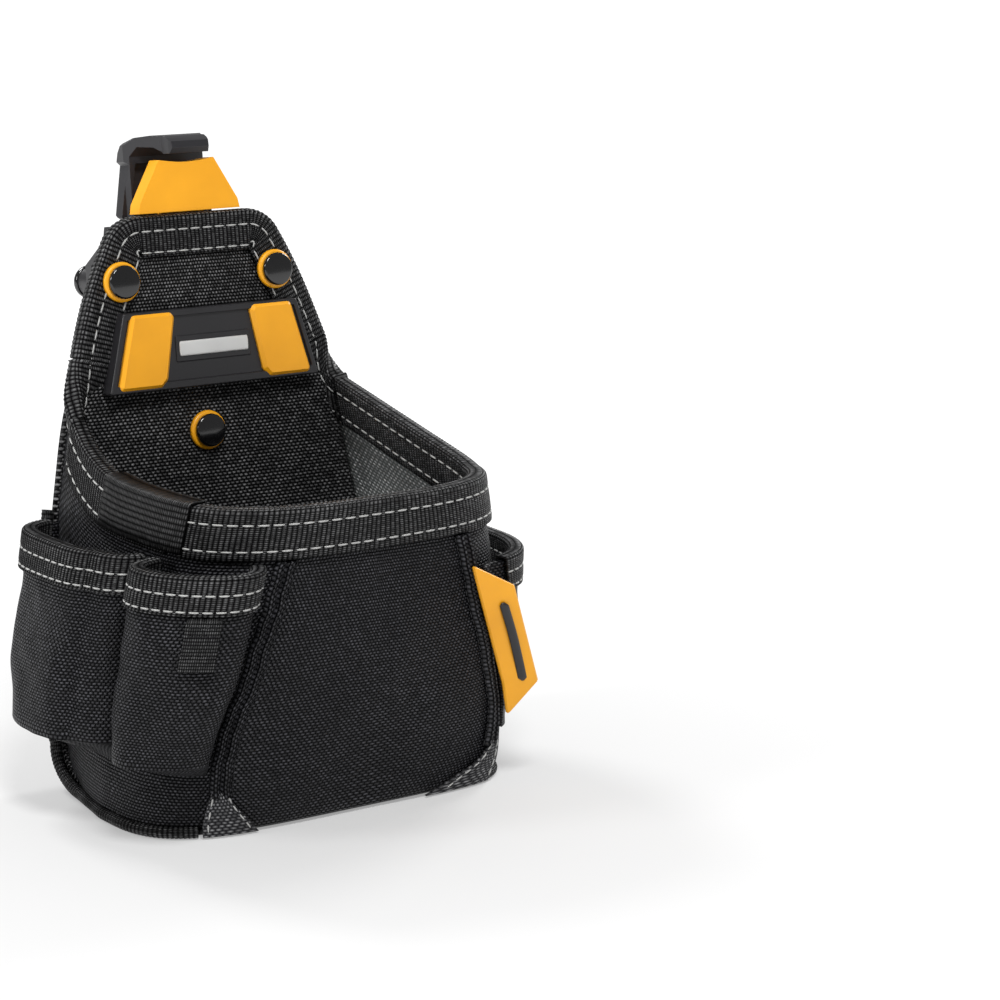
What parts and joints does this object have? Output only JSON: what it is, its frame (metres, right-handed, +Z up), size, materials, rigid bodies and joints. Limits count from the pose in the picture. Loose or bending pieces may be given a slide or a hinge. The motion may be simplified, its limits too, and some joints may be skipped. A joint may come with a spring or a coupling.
{
  "type": "electrician tool pouch",
  "caption": "Sewn fabric tool pouch with side pockets, a front badge and a sprung thumb release on a belt-hub receiver behind its neck.",
  "frame": {"origin": "on the floor at the centre of the flat base", "axes": "+Z up, +X to the right as seen from the front, the front of the pouch towards -Y"},
  "size_m": [0.2118, 0.1872, 0.273],
  "materials": {
    "back_panel": "woven, matt",
    "backing_board": "satin moulded plastic",
    "badge_inlay": "plain pale plastic",
    "badge_plate": "satin moulded plastic",
    "badge_wing_left": "moulded plastic",
    "badge_wing_right": "moulded plastic",
    "base_panel": "woven, matt",
    "front_panel": "woven, matt",
    "left_corner_patch": "woven patch",
    "left_front_pocket": "woven, matt",
    "left_front_pocket_binding": "ribbed webbing",
    "left_front_seam": "woven, matt",
    "left_gusset": "woven, matt",
    "left_rear_pocket": "woven, matt",
    "left_rear_pocket_binding": "ribbed webbing",
    "left_seam_piping": "ribbed webbing",
    "left_side_binding": "ribbed webbing",
    "lever_pin": "satin",
    "lever_spring": "satin",
    "lift_hook": "satin moulded plastic",
    "neck_binding": "ribbed webbing",
    "pocket_loop": "ribbed webbing",
    "receiver_housing": "satin moulded plastic",
    "release_lever": "moulded plastic",
    "right_corner_patch": "woven patch",
    "right_front_seam": "woven, matt",
    "right_gusset": "woven, matt",
    "right_pocket": "woven, matt",
    "right_pocket_binding": "ribbed webbing",
    "right_seam_piping": "ribbed webbing",
    "right_side_binding": "ribbed webbing",
    "rim_band": "ribbed webbing",
    "rim_overlap_tape": "ribbed webbing",
    "rivet_cap_left": "glossy lacquer",
    "rivet_cap_lower": "glossy lacquer",
    "rivet_cap_right": "glossy lacquer",
    "rivet_rear_cap_left": "glossy lacquer",
    "rivet_rear_cap_lower": "glossy lacquer",
    "rivet_rear_cap_right": "glossy lacquer",
    "rivet_washer_left": "moulded plastic",
    "rivet_washer_lower": "moulded plastic",
    "rivet_washer_right": "moulded plastic",
    "side_tag": "moulded plastic"
  },
  "bodies": {
    "pouch": {"back_panel": "back_panel", "backing_board": "backing_board", "badge_inlay": "badge_inlay", "badge_plate": "badge_plate", "badge_wing_left": "badge_wing_left", "badge_wing_right": "badge_wing_right", "base_panel": "base_panel", "front_panel": "front_panel", "left_corner_patch": "left_corner_patch", "left_front_pocket": "left_front_pocket", "left_front_pocket_binding": "left_front_pocket_binding", "left_front_seam": "left_front_seam", "left_gusset": "left_gusset", "left_rear_pocket": "left_rear_pocket", "left_rear_pocket_binding": "left_rear_pocket_binding", "left_seam_piping": "left_seam_piping", "left_side_binding": "left_side_binding", "lever_pin": "lever_pin", "lever_spring": "lever_spring", "lift_hook": "lift_hook", "neck_binding": "neck_binding", "pocket_loop": "pocket_loop", "receiver_housing": "receiver_housing", "right_corner_patch": "right_corner_patch", "right_front_seam": "right_front_seam", "right_gusset": "right_gusset", "right_pocket": "right_pocket", "right_pocket_binding": "right_pocket_binding", "right_seam_piping": "right_seam_piping", "right_side_binding": "right_side_binding", "rim_band": "rim_band", "rim_overlap_tape": "rim_overlap_tape", "rivet_cap_left": "rivet_cap_left", "rivet_cap_lower": "rivet_cap_lower", "rivet_cap_right": "rivet_cap_right", "rivet_rear_cap_left": "rivet_rear_cap_left", "rivet_rear_cap_lower": "rivet_rear_cap_lower", "rivet_rear_cap_right": "rivet_rear_cap_right", "rivet_washer_left": "rivet_washer_left", "rivet_washer_lower": "rivet_washer_lower", "rivet_washer_right": "rivet_washer_right", "side_tag": "side_tag"},
    "release_lever": {"release_lever": "release_lever"}
  },
  "joints": [
    {"name": "release_lever_hinge", "type": "hinge", "parent": "pouch", "child": "release_lever", "pos_m": [0, 0.07927, 0.22793], "axis": [-1, 0, 0], "range_deg": [0, 10], "stiffness_Nm_per_rad": 0.6, "springref_deg": -6.88}
  ]
}
